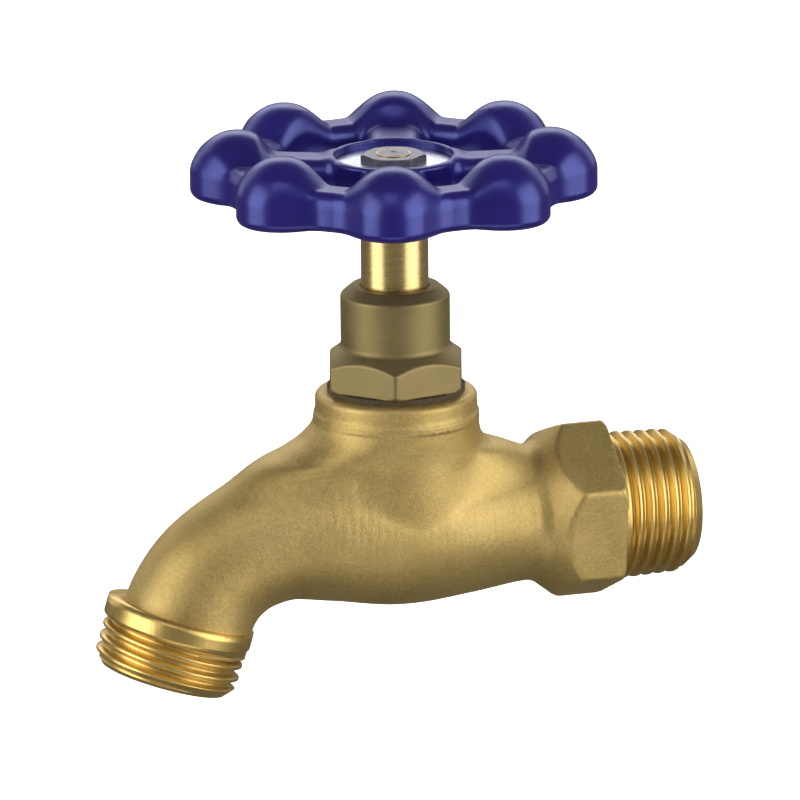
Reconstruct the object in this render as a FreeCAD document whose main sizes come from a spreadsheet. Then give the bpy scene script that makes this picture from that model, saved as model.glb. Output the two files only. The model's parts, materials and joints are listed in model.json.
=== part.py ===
import FreeCAD, Part
import math
import os
import re

import Sketcher

# A screw-down bib tap for a garden wall, closed.
# The origin is the centre of the shoulder where the inlet thread starts.
# +X runs along the inlet towards the wall, +Z is up, and the tap is alike on both sides of Y = 0.
# Lengths are millimetres and angles are degrees.

# The sizes that can be set by themselves
SIZES = (
    ("overrun", 1.0, "how far a cutting shape reaches past what it cuts"),
    ("overlap", 0.5, "how far two shapes that are joined reach into each other"),
    ("reach", 30.5, "from the stem's axis to the inlet shoulder"),
    ("collar_top", 19.9, "top face of the body's collar above the inlet axis"),
    ("collar_radius", 11.4, "outside of the collar that takes the bonnet"),
    ("collar_foot_radius", 10.8, "outside of the collar inside the barrel"),
    ("collar_round", 1.0, "rounding of the collar's top edge"),
    ("hex_flats", 22.8, "across the flats of the inlet hexagon"),
    ("hex_turn", 6.5, "how far that hexagon is turned from corners straight up"),
    ("hex_length", 11.8, "inlet hexagon with its cone"),
    ("hex_cone_length", 5.4, "cone that leads from the neck to the hexagon"),
    ("hex_cone_radius", 8.9, "small end of that cone, inside the neck"),
    ("hex_back_chamfer", 0.7, "chamfer on the corners next to the shoulder"),
    ("root_depth", 1.9, "how far the neck reaches into the hexagon's cone"),
    ("pipe_thread_pitch", 1.814, "fourteen threads to the inch"),
    ("pipe_thread_root", 9.32, "radius at the bottom of the half-inch pipe thread"),
    ("pipe_thread_crest", 10.30, "radius of the thread's slightly flattened crest"),
    ("pipe_thread_flat", 0.26, "width of the flat at the bottom of a thread groove"),
    ("pipe_thread_lean", 27.5, "half angle of the pipe thread"),
    ("inlet_radius", 10.48, "plain land beside the inlet thread"),
    ("inlet_land", 2.0, "length of that land"),
    ("inlet_relief", 1.4, "width of the turned groove where the thread starts"),
    ("inlet_length", 12.1, "from the shoulder to the end of the inlet"),
    ("inlet_chamfer", 1.6, "chamfer at the end of the inlet"),
    ("inlet_bore", 6.8, "radius of the water way in the inlet"),
    ("outlet_along", -32.3, "centre of the outlet ring's top from the stem's axis"),
    ("outlet_height", -10.55, "the same point's height"),
    ("outlet_tilt", 72.8, "outlet axis below the level"),
    ("outlet_radius", 10.48, "plain band above the outlet thread"),
    ("outlet_band", 1.6, "length of that band"),
    ("outlet_relief", 0.3, "width of the turned groove where the thread starts"),
    ("outlet_length", 8.64, "from the band's top to the end of the outlet"),
    ("outlet_chamfer", 0.7, "chamfer at the end of the outlet"),
    ("outlet_bore", 7.0, "radius of the water way at the end of the outlet"),
    ("spout_bore", 6.3, "radius of the water way in the spout"),
    ("seat_height", 2.0, "top of the seat that the washer closes"),
    ("seat_bore", 5.5, "radius of the hole in the seat"),
    ("seat_rim", 1.3, "width of the raised rim of the seat"),
    ("seat_rim_rise", 1.0, "rise of that rim above the chamber's floor"),
    ("seat_wall", 2.1, "thickness of the wall that carries the seat"),
    ("under_height", 7.4, "height of the passage under the seat"),
    ("under_width", 12.8, "width of that passage"),
    ("under_round", 3.1, "rounding of its four long edges"),
    ("chamber_radius", 8.6, "radius of the chamber above the seat"),
    ("bonnet_thread_radius", 8.33, "three-eighths pipe thread of the bonnet"),
    ("bonnet_thread_clearance", 0.03, "radial play of the bonnet in the collar"),
    ("bonnet_skirt", 8.7, "length of the bonnet below its hexagon and gasket"),
    ("bonnet_end_chamfer", 0.8, "chamfer at the lower end of the bonnet"),
    ("gasket_thickness", 0.8, "fibre ring between the collar and the bonnet"),
    ("gasket_radius", 9.7, "outside of that ring"),
    ("bonnet_hex_flats", 18.5, "across the flats of the bonnet's hexagon"),
    ("bonnet_hex_height", 3.7, "hexagon below its chamfer"),
    ("bonnet_cone", 2.1, "height of the chamfer above the hexagon's corners"),
    ("bonnet_foot_chamfer", 0.6, "chamfer under the hexagon's corners"),
    ("bonnet_neck", 7.7, "radius of the bonnet's round top"),
    ("bonnet_height", 14.4, "bonnet above the gasket"),
    ("bonnet_turn", -18.5, "how far the screwed-in bonnet is turned"),
    ("bonnet_top_cone", 1.3, "height of the bonnet's top chamfer"),
    ("bonnet_top_radius", 6.2, "radius of the flat top inside that chamfer"),
    ("stem_radius", 4.75, "polished shank of the spindle"),
    ("stem_clearance", 0.05, "radial play of the spindle in the bonnet"),
    ("stem_thread_radius", 6.0, "crest of the spindle's thread"),
    ("stem_thread_root", 4.85, "root of the spindle's thread"),
    ("stem_thread_pitch", 2.5, "rise of the spindle for one turn"),
    ("stem_thread_flat", 0.85, "width of the flat at the bottom of a thread groove"),
    ("stem_thread_lean", 15.0, "half angle of the spindle's thread"),
    ("stem_thread_length", 10.5, "length of the spindle's thread"),
    ("stem_foot", 1.5, "plain foot of the spindle below its thread"),
    ("stem_foot_radius", 5.0, "radius of that foot"),
    ("stem_lift", 5.0, "travel of the spindle from closed to open"),
    ("stop_play", 0.2, "play left at the open stop"),
    ("ring_section", 1.6, "thickness of an o-ring's cord"),
    ("ring_squeeze", 0.12, "how far an o-ring is squeezed in its groove"),
    ("ring_gap", 0.03, "radial play of an o-ring in the bonnet"),
    ("ring_play", 0.15, "play of an o-ring along its groove"),
    ("ring_spacing", 3.0, "from one o-ring to the other"),
    ("ring_start", 1.9, "lower o-ring above the bonnet's inner shoulder"),
    ("washer_radius", 6.9, "rubber washer that closes the seat"),
    ("washer_thickness", 2.5, "thickness of that washer"),
    ("washer_bore", 2.05, "hole of the washer"),
    ("jumper_radius", 7.1, "disc that carries the washer"),
    ("jumper_thickness", 2.0, "thickness of that disc"),
    ("jumper_gap", 0.05, "play between the disc and the spindle's foot"),
    ("jumper_stalk_radius", 2.6, "stalk of the disc in the spindle"),
    ("jumper_stalk_length", 9.0, "length of that stalk"),
    ("jumper_stalk_clearance", 0.08, "radial play of the stalk in the spindle"),
    ("jumper_stalk_play", 1.0, "room above the stalk in the spindle"),
    ("jumper_stud_radius", 2.0, "stud below the disc, through the washer"),
    ("washer_nut_flats", 7.0, "nut under the washer"),
    ("washer_nut_height", 2.4, "height of that nut"),
    ("nut_chamfer", 0.5, "how far the corners of a nut are turned off"),
    ("nut_chamfer_height", 0.3, "height of that chamfer"),
    ("stud_end", 0.15, "stud left showing past a nut"),
    ("wheel_turn", -18.5, "how far the closed wheel and spindle are turned"),
    ("wheel_foot", 43.0, "underside of the wheel's hub above the inlet axis"),
    ("hub_radius", 9.2, "outside of the hub where it holds the plate"),
    ("hub_foot_radius", 6.2, "outside of the hub at its foot"),
    ("hub_height", 10.9, "height of the hub"),
    ("square_side", 6.6, "square of the spindle in the wheel"),
    ("square_clearance", 0.02, "play of the wheel on each side of that square"),
    ("square_length", 8.6, "length of that square"),
    ("rim_rise", 4.4, "underside of the rim above the foot of the hub"),
    ("rim_height", 6.9, "height of the rim"),
    ("rim_radius", 24.3, "outside of the rim between its lobes"),
    ("rim_inner_radius", 17.6, "inside of the rim"),
    ("rim_round", 2.2, "rounding of the rim's upper edges"),
    ("rim_bottom_round", 1.0, "rounding of the rim's lower edges"),
    ("lobe_radius", 6.9, "radius of a lobe"),
    ("lobe_rise", 3.3, "top of a lobe's dome above the top of the rim"),
    ("lobe_inset", 2.6, "centre of a lobe inside the rim's outer edge"),
    ("lobe_blend", 3.2, "hollow fillet between the lobes and the rim"),
    ("cap_inset", 0.25, "foot of a lobe's dome inside the lobe's side"),
    ("spoke_width", 8.0, "width of a spoke"),
    ("spoke_drop", 0.2, "top of a spoke below the top of the rim"),
    ("spoke_height", 5.0, "height of a spoke"),
    ("spoke_round", 1.6, "rounding of a spoke's upper edges"),
    ("plate_radius", 8.15, "round plate on the hub"),
    ("plate_clearance", 0.15, "play round that plate"),
    ("plate_thickness", 0.6, "thickness of that plate"),
    ("plate_depth", 1.7, "depth of the hub's recess below its rim"),
    ("wheel_nut_flats", 8.0, "nut that holds the wheel"),
    ("wheel_nut_height", 1.2, "height of that nut"),
    ("wheel_stud_radius", 2.4, "stud at the top of the spindle"),
    ("thread_fit", 0.02, "radial play between a nut and its stud"),
)

# Circles that the casting is drawn through: distance from the stem's axis, height, tilt, radius
STATIONS = (
    ("root", "=reach - hex_length + root_depth", 0.0, 0.0, 9.3),
    ("neck", 15.7, 0.0, 0.0, 9.5),
    ("shoulder", 8.2, 0.0, 0.0, 10.45),
    ("belly", 0.0, 0.15, 0.0, 11.2),
    ("hump", -8.8, 1.1, 2.0, 10.85),
    ("back", -16.6, 0.9, 11.0, 9.8),
    ("bend", -22.9, -1.3, 28.0, 9.05),
    ("elbow", -27.4, -4.4, 46.0, 9.0),
    ("drop", -30.2, -8.2, 63.0, 9.15),
    ("tip", -31.7, -12.2, 72.0, 9.35),
)

# The same for the first part of the water way in the spout
WATER_STATIONS = (
    ("mouth", -4.0, 6.4, 22.0, 5.0),
    ("throat", -11.4, 3.4, 20.0, 5.6),
)

# Ovals that the cast flare under the collar is drawn through: height, reach towards the spout,
# reach towards the inlet, half width
FLARES = (
    ("flare_top", 16.4, 11.3, 11.3, 11.2),
    ("flare_waist", 14.0, 13.3, 11.8, 10.9),
    ("flare_foot", 12.1, 16.2, 13.2, 10.2),
    ("flare_base", 10.0, 19.6, 16.6, 9.2),
    ("flare_root", 4.0, 19.6, 16.6, 8.8),
)

# Places that follow from the sizes, as formulas in the names above
PLACES = {
    "stem_x": "-reach",
    "hex_corner": "hex_flats / 2 / cos(30)",
    "bonnet_corner": "bonnet_hex_flats / 2 / cos(30)",
    "bonnet_bore": "bonnet_thread_radius + bonnet_thread_clearance",
    "bonnet_foot": "collar_top + gasket_thickness",
    "bonnet_bottom": "bonnet_foot - bonnet_skirt",
    "bonnet_top": "bonnet_foot + bonnet_height",
    "bonnet_hex_top": "bonnet_foot + bonnet_hex_height",
    "chamber_floor": "seat_height - seat_rim_rise",
    "under_top": "chamber_floor - seat_wall",
    "washer_top": "seat_height + washer_thickness",
    "jumper_top": "washer_top + jumper_thickness",
    "stem_bottom": "jumper_top + jumper_gap",
    "stem_thread_bottom": "stem_bottom + stem_foot",
    "stem_thread_top": "stem_thread_bottom + stem_thread_length",
    "inner_shoulder": "stem_thread_top + stem_lift + stop_play",
    "lower_ring": "inner_shoulder + ring_start",
    "upper_ring": "lower_ring + ring_spacing",
    "stem_bore": "stem_radius + stem_clearance",
    "groove_radius": "stem_bore - ring_section + ring_squeeze",
    "groove_half": "ring_section / 2 + ring_play",
    "plate_seat": "wheel_foot + hub_height - plate_depth",
    "plate_top": "plate_seat + plate_thickness",
    "wheel_nut_top": "plate_top + wheel_nut_height",
    "stem_top": "wheel_nut_top + stud_end",
    "rim_bottom": "wheel_foot + rim_rise",
    "rim_top": "rim_bottom + rim_height",
    "lobe_centre": "rim_radius - lobe_inset",
    "lobe_top": "rim_top + lobe_rise",
    "spoke_top": "rim_top - spoke_drop",
    "cap_half": "lobe_radius - cap_inset",
    "cap_height": "lobe_rise + rim_round",
    "cap_radius": "(cap_half ^ 2 + cap_height ^ 2) / (2 * cap_height)",
    "outlet_x": "stem_x + outlet_along",
}

# Lengths that differ by less than this count as equal
TOLERANCE = 0.01

doc = FreeCAD.newDocument("BibTap")
sheet = doc.addObject("Spreadsheet::Sheet", "Sizes")
parts = []


def fill_sheet():
    """Writes every size into the sheet, one row each: its name, its number and what it is."""
    rows = list(SIZES)
    for name, along, height, tilt, radius in STATIONS + WATER_STATIONS:
        rows.append((name + "_along", along, "centre of this circle from the stem's axis"))
        rows.append((name + "_height", height, "height of its centre"))
        rows.append((name + "_tilt", tilt, "tilt of its axis below the level"))
        rows.append((name + "_radius", radius, "radius of this circle"))
    for name, height, left, right, width in FLARES:
        rows.append((name + "_height", height, "height of this oval"))
        rows.append((name + "_left", left, "its reach towards the spout"))
        rows.append((name + "_right", right, "its reach towards the inlet"))
        rows.append((name + "_width", width, "half its width"))
    for index, (name, number, note) in enumerate(rows, start=1):
        sheet.set("A%d" % index, name)
        sheet.set("B%d" % index, str(number))
        sheet.setAlias("B%d" % index, name)
        sheet.set("C%d" % index, note)
    doc.recompute()
    return {row[0] for row in rows}


NAMES = fill_sheet()


def bind(formula):
    """Turns the names in a formula into references to the sheet's cells."""
    def swap(match):
        word = match.group()
        if word in PLACES:
            return "(" + bind(PLACES[word]) + ")"
        return "Sizes." + word if word in NAMES else word
    return re.sub(r"[a-z][a-z_]*", swap, formula)


def number(formula):
    """What a formula gives with the sheet's present sizes."""
    return float(sheet.evalExpression(bind(formula)))


def link(item, **formulas):
    """Binds properties of one object to formulas."""
    for name, formula in formulas.items():
        item.setExpression(name, bind(formula))
    return item


def place(item, x="0", y="0", z="0", axis=(0, 0, 1), angle="0"):
    """Binds an object's place, and its turn about one fixed axis."""
    item.Placement = FreeCAD.Placement(
        FreeCAD.Vector(0, 0, 0), FreeCAD.Rotation(FreeCAD.Vector(*axis), 1))
    item.setExpression("Placement.Base.x", bind(x))
    item.setExpression("Placement.Base.y", bind(y))
    item.setExpression("Placement.Base.z", bind(z))
    item.setExpression("Placement.Rotation.Angle", bind(angle))
    return item


def cylinder(name, radius, length, **where):
    """A round bar from its place along its own axis."""
    item = doc.addObject("Part::Cylinder", name)
    link(item, Radius=radius, Height=length)
    return place(item, **where)


def fuse(name, shapes):
    """Several shapes as one."""
    item = doc.addObject("Part::MultiFuse", name)
    item.Shapes = shapes
    return item


def cut(name, base, tool):
    """One shape less another."""
    item = doc.addObject("Part::Cut", name)
    item.Base = base
    item.Tool = tool
    return item


def sketch_on(body, name, role, height="0"):
    """An empty sketch on one of the body's own planes, raised to a height."""
    sketch = body.newObject("Sketcher::SketchObject", name)
    plane = [item for item in body.Origin.OriginFeatures if item.Role == role][0]
    sketch.AttachmentSupport = [(plane, "")]
    sketch.MapMode = "FlatFace"
    sketch.setExpression("AttachmentOffset.Base.z", bind(height))
    return sketch


def pin_point(sketch, edge, end, across, up):
    """Holds a sketch point at its distances from the sketch's origin."""
    for kind, formula in (("DistanceX", across), ("DistanceY", up)):
        index = sketch.addConstraint(
            Sketcher.Constraint(kind, -1, 1, edge, end, number(formula)))
        sketch.setExpression("Constraints[%d]" % index, bind(formula))


def arc_between(start, end, radius):
    """The short arc from one point to another that bulges to the right of its way."""
    chord = end - start
    bulge = radius - math.sqrt(max(radius ** 2 - (chord.Length / 2) ** 2, 0))
    side = FreeCAD.Vector(chord.y, -chord.x, 0).normalize()
    return Part.Arc(start, (start + end) / 2 + side * bulge, end)


def outline(sketch, points):
    """A closed outline, counter-clockwise, through points given as formulas.

    An edge is straight, or an arc where the point that it starts from has a radius too.
    """
    corners = [FreeCAD.Vector(number(point[0]), number(point[1]), 0) for point in points]
    first = sketch.GeometryCount
    count = len(corners)
    for index, point in enumerate(points):
        start, end = corners[index], corners[(index + 1) % count]
        if len(point) == 3:
            sketch.addGeometry(arc_between(start, end, number(point[2])), False)
        else:
            sketch.addGeometry(Part.LineSegment(start, end), False)
    for index, point in enumerate(points):
        after = first + (index + 1) % count
        sketch.addConstraint(Sketcher.Constraint("Coincident", first + index, 2, after, 1))
        pin_point(sketch, first + index, 1, point[0], point[1])
        if len(point) == 3:
            hold_radius(sketch, first + index, point[2])


def hold_radius(sketch, edge, radius):
    """Holds the radius of an arc or a circle."""
    index = sketch.addConstraint(Sketcher.Constraint("Radius", edge, number(radius)))
    sketch.setExpression("Constraints[%d]" % index, bind(radius))


def circle(sketch, radius, across="0"):
    """A circle on the sketch's level line."""
    centre = FreeCAD.Vector(number(across), 0, 0)
    index = sketch.addGeometry(
        Part.Circle(centre, FreeCAD.Vector(0, 0, 1), number(radius)), False)
    hold_radius(sketch, index, radius)
    pin_point(sketch, index, 3, across, "0")


def hexagon(sketch, flats, angle="0"):
    """A hexagon with a corner at an angle from the sketch's level line."""
    corner = "(%s) / 2 / cos(30)" % flats
    corners = []
    for index in range(6):
        way = "(%d + %s)" % (60 * index, angle)
        corners.append(("%s * cos%s" % (corner, way), "%s * sin%s" % (corner, way)))
    outline(sketch, corners)


def new_body(name, angle="0"):
    """A body that stands on the stem's axis, turned about it."""
    body = doc.addObject("PartDesign::Body", name)
    return place(body, x="stem_x", angle=angle)


def turn(body, name, points, kind="Revolution", axis="V_Axis"):
    """Turns an outline, radius and height, about the body's axis or an edge of the outline."""
    sketch = sketch_on(body, name + "_outline", "XZ_Plane")
    outline(sketch, points)
    feature = body.newObject("PartDesign::" + kind, name)
    feature.Profile = sketch
    feature.ReferenceAxis = (sketch, [axis])
    feature.Angle = 360
    doc.recompute()
    return feature


def raise_sketch(body, name, sketch, height):
    """Adds a sketch's area, upwards by a height."""
    feature = body.newObject("PartDesign::Pad", name)
    feature.Profile = sketch
    link(feature, Length=height)
    doc.recompute()
    return feature


def sink_sketch(body, name, sketch, depth):
    """Removes a sketch's area, downwards by a depth."""
    feature = body.newObject("PartDesign::Pocket", name)
    feature.Profile = sketch
    link(feature, Length=depth)
    doc.recompute()
    return feature


def round_pattern(body, name, features, count):
    """Repeats features evenly about the stem's axis."""
    pattern = body.newObject("PartDesign::PolarPattern", name)
    pattern.Originals = features
    axis = [item for item in body.Origin.OriginFeatures if item.Role == "Z_Axis"][0]
    pattern.Axis = (axis, [""])
    pattern.Angle = 360
    pattern.Occurrences = count
    body.Tip = pattern
    doc.recompute()
    return pattern


def edges_where(shape, test):
    """Names of a shape's edges that pass a test."""
    return ["Edge%d" % index for index, edge in enumerate(shape.Edges, start=1) if test(edge)]


def round_edges(body, name, base, test, radius):
    """Rounds the edges of a feature that pass a test."""
    feature = body.newObject("PartDesign::Fillet", name)
    feature.Base = (base, edges_where(base.Shape, test))
    link(feature, Radius=radius)
    doc.recompute()
    return feature


def keep(item, label):
    """Marks an object as one sub-part and gives it its name."""
    item.Label = label
    parts.append(item)
    return item


def thread_points(start, end, root, crest, pitch, flat, lean):
    """The notched outline of a thread drawn as rings, from one height to another."""
    turns = int(number("((%s) - (%s)) / (%s)" % (end, start, pitch)))
    wall = "((%s) - (%s)) * tan(%s)" % (crest, root, lean)
    points = []
    for index in range(turns):
        low = "(%s) + %d * (%s)" % (start, index, pitch)
        points.append((root, low))
        points.append((root, "%s + (%s)" % (low, flat)))
        points.append((crest, "%s + (%s) + %s" % (low, flat, wall)))
        points.append((crest, "%s + (%s) - %s" % (low, pitch, wall)))
    return points


def station_circle(prefix, name, radius):
    """One circle square to the casting's centre line."""
    item = doc.addObject("Part::Circle", prefix + "_" + name)
    link(item, Radius=radius)
    return place(
        item, x="stem_x + %s_along" % name, z=name + "_height",
        axis=(0, 1, 0), angle="-90 - %s_tilt" % name)


def loft(name, sections):
    """One smooth solid through circles."""
    item = doc.addObject("Part::Loft", name)
    item.Sections = sections
    item.Solid = True
    return item


def body_outside():
    """The casting's outer shape, before the water ways and the threads."""
    tube = loft("casting", [
        station_circle("outside", row[0], row[0] + "_radius") for row in STATIONS])
    collar_body = new_body("collar")
    turn(collar_body, "collar_turn", (
        ("0", "0"),
        ("collar_foot_radius", "0"),
        ("collar_radius", "flare_top_height"),
        ("collar_radius", "collar_top - collar_round", "collar_round"),
        ("collar_radius - collar_round", "collar_top"),
        ("0", "collar_top"),
    ))
    flare = loft("flare", [flare_oval(row[0]) for row in FLARES])
    return [tube, collar_body, flare]


def flare_oval(name):
    """One level oval of the flare under the collar."""
    item = doc.addObject("Part::Ellipse", name + "_oval")
    link(
        item, MajorRadius="(%s_left + %s_right) / 2" % (name, name),
        MinorRadius=name + "_width")
    middle = "stem_x + (%s_right - %s_left) / 2" % (name, name)
    return place(item, x=middle, z=name + "_height")


def inlet_outside():
    """The hexagon with its cone, and the inlet's blank."""
    head = place(
        doc.addObject("PartDesign::Body", "hexagon"), x="-hex_length", axis=(0, 1, 0), angle="90")
    sketch = sketch_on(head, "hex_outline", "XY_Plane")
    hexagon(sketch, "hex_flats", "hex_turn")
    raise_sketch(head, "hex_bar", sketch, "hex_length")
    turn(head, "hex_front", (
        ("hex_cone_radius", "-overrun"),
        ("hex_corner + overrun", "-overrun"),
        ("hex_corner + overrun", "hex_cone_length"),
        ("hex_corner", "hex_cone_length"),
        ("hex_cone_radius", "0"),
    ), kind="Groove")
    turn(head, "hex_back", (
        ("hex_corner - hex_back_chamfer", "hex_length"),
        ("hex_corner", "hex_length - hex_back_chamfer"),
        ("hex_corner + overrun", "hex_length - hex_back_chamfer"),
        ("hex_corner + overrun", "hex_length + overrun"),
        ("hex_corner - hex_back_chamfer", "hex_length + overrun"),
    ), kind="Groove")
    inlet = place(
        doc.addObject("PartDesign::Body", "inlet_end"), axis=(0, 1, 0), angle="90")
    points = [("0", "-overlap"), ("inlet_radius", "-overlap"), ("inlet_radius", "inlet_land")]
    points.append(("pipe_thread_root", "inlet_land"))
    points += thread_points(
        "inlet_land + inlet_relief", "inlet_length - inlet_chamfer / 2", "pipe_thread_root",
        "pipe_thread_crest", "pipe_thread_pitch", "pipe_thread_flat", "pipe_thread_lean")
    points += [("pipe_thread_root", "inlet_length"), ("0", "inlet_length")]
    turn(inlet, "inlet_turn", points)
    turn(inlet, "inlet_nose", (
        ("inlet_radius - inlet_chamfer", "inlet_length"),
        ("inlet_radius", "inlet_length - inlet_chamfer"),
        ("inlet_radius + overrun", "inlet_length - inlet_chamfer"),
        ("inlet_radius + overrun", "inlet_length + overrun"),
        ("inlet_radius - inlet_chamfer", "inlet_length + overrun"),
    ), kind="Groove")
    return [head, inlet]


def outlet_outside():
    """The outlet's band and its threaded end."""
    outlet = place(
        doc.addObject("PartDesign::Body", "outlet_end"),
        x="outlet_x", z="outlet_height", axis=(0, 1, 0), angle="-90 - outlet_tilt")
    points = [("0", "0"), ("outlet_radius", "0"), ("outlet_radius", "outlet_band")]
    points.append(("pipe_thread_root", "outlet_band"))
    points += thread_points(
        "outlet_band + outlet_relief", "outlet_length", "pipe_thread_root",
        "pipe_thread_crest", "pipe_thread_pitch", "pipe_thread_flat", "pipe_thread_lean")
    points += [("pipe_thread_root", "outlet_length"), ("0", "outlet_length")]
    turn(outlet, "outlet_turn", points)
    turn(outlet, "outlet_nose", (
        ("outlet_radius - outlet_chamfer", "outlet_length"),
        ("outlet_radius", "outlet_length - outlet_chamfer"),
        ("outlet_radius + overrun", "outlet_length - outlet_chamfer"),
        ("outlet_radius + overrun", "outlet_length + overrun"),
        ("outlet_radius - outlet_chamfer", "outlet_length + overrun"),
    ), kind="Groove")
    return [outlet]


def outlet_place(distance):
    """A place on the outlet's axis, a distance below the band's top."""
    return dict(
        x="outlet_x - (%s) * cos(outlet_tilt)" % distance,
        z="outlet_height - (%s) * sin(outlet_tilt)" % distance,
        axis=(0, 1, 0), angle="-90 - outlet_tilt")


def water_ways():
    """Every hollow in the body, from the inlet to the outlet."""
    along = dict(axis=(0, 1, 0), angle="90")
    inlet_start = "stem_x + chamber_radius + seat_wall"
    inlet = cylinder(
        "inlet_way", "inlet_bore", "inlet_length + overrun - (%s)" % inlet_start,
        x=inlet_start, **along)
    under_body = new_body("under_way")
    sketch = sketch_on(under_body, "under_outline", "XY_Plane", "under_top - under_height")
    outline(sketch, (
        ("-seat_bore", "-under_width / 2"),
        ("chamber_radius + seat_wall + overrun", "-under_width / 2"),
        ("chamber_radius + seat_wall + overrun", "under_width / 2"),
        ("-seat_bore", "under_width / 2"),
    ))
    block = raise_sketch(under_body, "under_block", sketch, "under_height")
    round_edges(under_body, "under_rounding", block, is_lengthwise, "under_round")
    seat = cylinder(
        "seat_hole", "seat_bore", "seat_wall + seat_rim_rise + 2 * overrun",
        x="stem_x", z="under_top - overrun")
    chamber_body = new_body("chamber")
    turn(chamber_body, "chamber_turn", (
        ("seat_bore + seat_rim", "chamber_floor"),
        ("chamber_radius", "chamber_floor"),
        ("chamber_radius", "bonnet_bottom"),
        ("bonnet_bore", "bonnet_bottom"),
        ("bonnet_bore", "collar_top + overrun"),
        ("0", "collar_top + overrun"),
        ("0", "seat_height"),
        ("seat_bore + seat_rim", "seat_height"),
    ))
    circles = [station_circle("water", row[0], row[0] + "_radius") for row in WATER_STATIONS]
    for name in ("back", "bend", "elbow", "drop"):
        circles.append(station_circle("water", name, "spout_bore"))
    for name, distance in (("band", "outlet_band"), ("end", "outlet_length + overrun")):
        item = doc.addObject("Part::Circle", "water_" + name)
        link(item, Radius="outlet_bore")
        circles.append(place(item, **outlet_place(distance)))
    spout = loft("spout_way", circles)
    return fuse("water_ways", [inlet, under_body, seat, chamber_body, spout])


def is_lengthwise(edge):
    """True for an edge that runs along the inlet's axis."""
    return max(edge.BoundBox.YLength, edge.BoundBox.ZLength) < TOLERANCE


def make_body():
    """The brass casting: inlet, seat, collar, spout and both threads."""
    pieces = body_outside() + inlet_outside() + outlet_outside()
    outside = fuse("body_outside", pieces)
    keep(cut("body_casting", outside, water_ways()), "body")


def make_gasket():
    """The fibre ring that seals the bonnet on the collar."""
    body = new_body("gasket_ring")
    turn(body, "gasket_turn", (
        ("bonnet_bore", "collar_top"),
        ("gasket_radius", "collar_top"),
        ("gasket_radius", "bonnet_foot"),
        ("bonnet_bore", "bonnet_foot"),
    ))
    keep(body, "bonnet_gasket")


def make_bonnet():
    """The hexagon head that guides the spindle and screws into the collar."""
    body = new_body("bonnet_piece", "bonnet_turn")
    turn(body, "bonnet_core", (
        ("stem_thread_radius + stem_clearance", "bonnet_bottom"),
        ("bonnet_thread_radius - bonnet_end_chamfer", "bonnet_bottom"),
        ("bonnet_thread_radius", "bonnet_bottom + bonnet_end_chamfer"),
        ("bonnet_thread_radius", "bonnet_foot"),
        ("bonnet_neck", "bonnet_foot"),
        ("bonnet_neck", "bonnet_top - bonnet_top_cone"),
        ("bonnet_top_radius", "bonnet_top"),
        ("stem_bore", "bonnet_top"),
        ("stem_bore", "inner_shoulder"),
        ("stem_thread_radius + stem_clearance", "inner_shoulder"),
    ))
    hex_height = "bonnet_hex_height + bonnet_cone"
    sketch = sketch_on(body, "bonnet_hex_outline", "XY_Plane", "bonnet_foot")
    hexagon(sketch, "bonnet_hex_flats", "90")
    circle(sketch, "bonnet_neck - overlap")
    raise_sketch(body, "bonnet_hex", sketch, hex_height)
    turn(body, "bonnet_hex_cone", (
        ("bonnet_neck", "bonnet_hex_top + bonnet_cone"),
        ("bonnet_corner", "bonnet_hex_top"),
        ("bonnet_corner + overrun", "bonnet_hex_top"),
        ("bonnet_corner + overrun", "bonnet_hex_top + bonnet_cone + overrun"),
        ("bonnet_neck", "bonnet_hex_top + bonnet_cone + overrun"),
    ), kind="Groove")
    turn(body, "bonnet_hex_foot", (
        ("bonnet_corner - bonnet_foot_chamfer", "bonnet_foot - overrun"),
        ("bonnet_corner + overrun", "bonnet_foot - overrun"),
        ("bonnet_corner + overrun", "bonnet_foot + bonnet_foot_chamfer"),
        ("bonnet_corner", "bonnet_foot + bonnet_foot_chamfer"),
        ("bonnet_corner - bonnet_foot_chamfer", "bonnet_foot"),
    ), kind="Groove")
    keep(body, "bonnet")


def make_spindle():
    """The screwed spindle with its two ring grooves, its square and its stud."""
    body = new_body("spindle_blank", "wheel_turn")
    hole = "jumper_stalk_radius + jumper_stalk_clearance"
    hole_top = "jumper_top + jumper_stalk_length + jumper_stalk_play"
    foot = [(hole, "stem_bottom"), ("stem_foot_radius", "stem_bottom")]
    thread = thread_points(
        "stem_thread_bottom", "stem_thread_top", "stem_thread_root", "stem_thread_radius",
        "stem_thread_pitch", "stem_thread_flat", "stem_thread_lean")
    shank = [
        ("stem_radius", "stem_thread_top"),
        ("stem_radius", "lower_ring - groove_half"),
        ("groove_radius", "lower_ring - groove_half"),
        ("groove_radius", "lower_ring + groove_half"),
        ("stem_radius", "lower_ring + groove_half"),
        ("stem_radius", "upper_ring - groove_half"),
        ("groove_radius", "upper_ring - groove_half"),
        ("groove_radius", "upper_ring + groove_half"),
        ("stem_radius", "upper_ring + groove_half"),
        ("stem_radius", "wheel_foot"),
        ("wheel_stud_radius", "wheel_foot"),
        ("wheel_stud_radius", "stem_top"),
        ("0", "stem_top"),
        ("0", hole_top),
        (hole, hole_top),
    ]
    turn(body, "spindle_turn", foot + thread + shank)
    sketch = sketch_on(body, "square_outline", "XY_Plane", "wheel_foot")
    outline(sketch, square_points("square_side / 2"))
    raise_sketch(body, "square", sketch, "square_length")
    keep(body, "spindle")


def square_points(half):
    """Corners of a square about the stem's axis."""
    return (
        ("-(%s)" % half, "-(%s)" % half),
        (half, "-(%s)" % half),
        (half, half),
        ("-(%s)" % half, half),
    )


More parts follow.
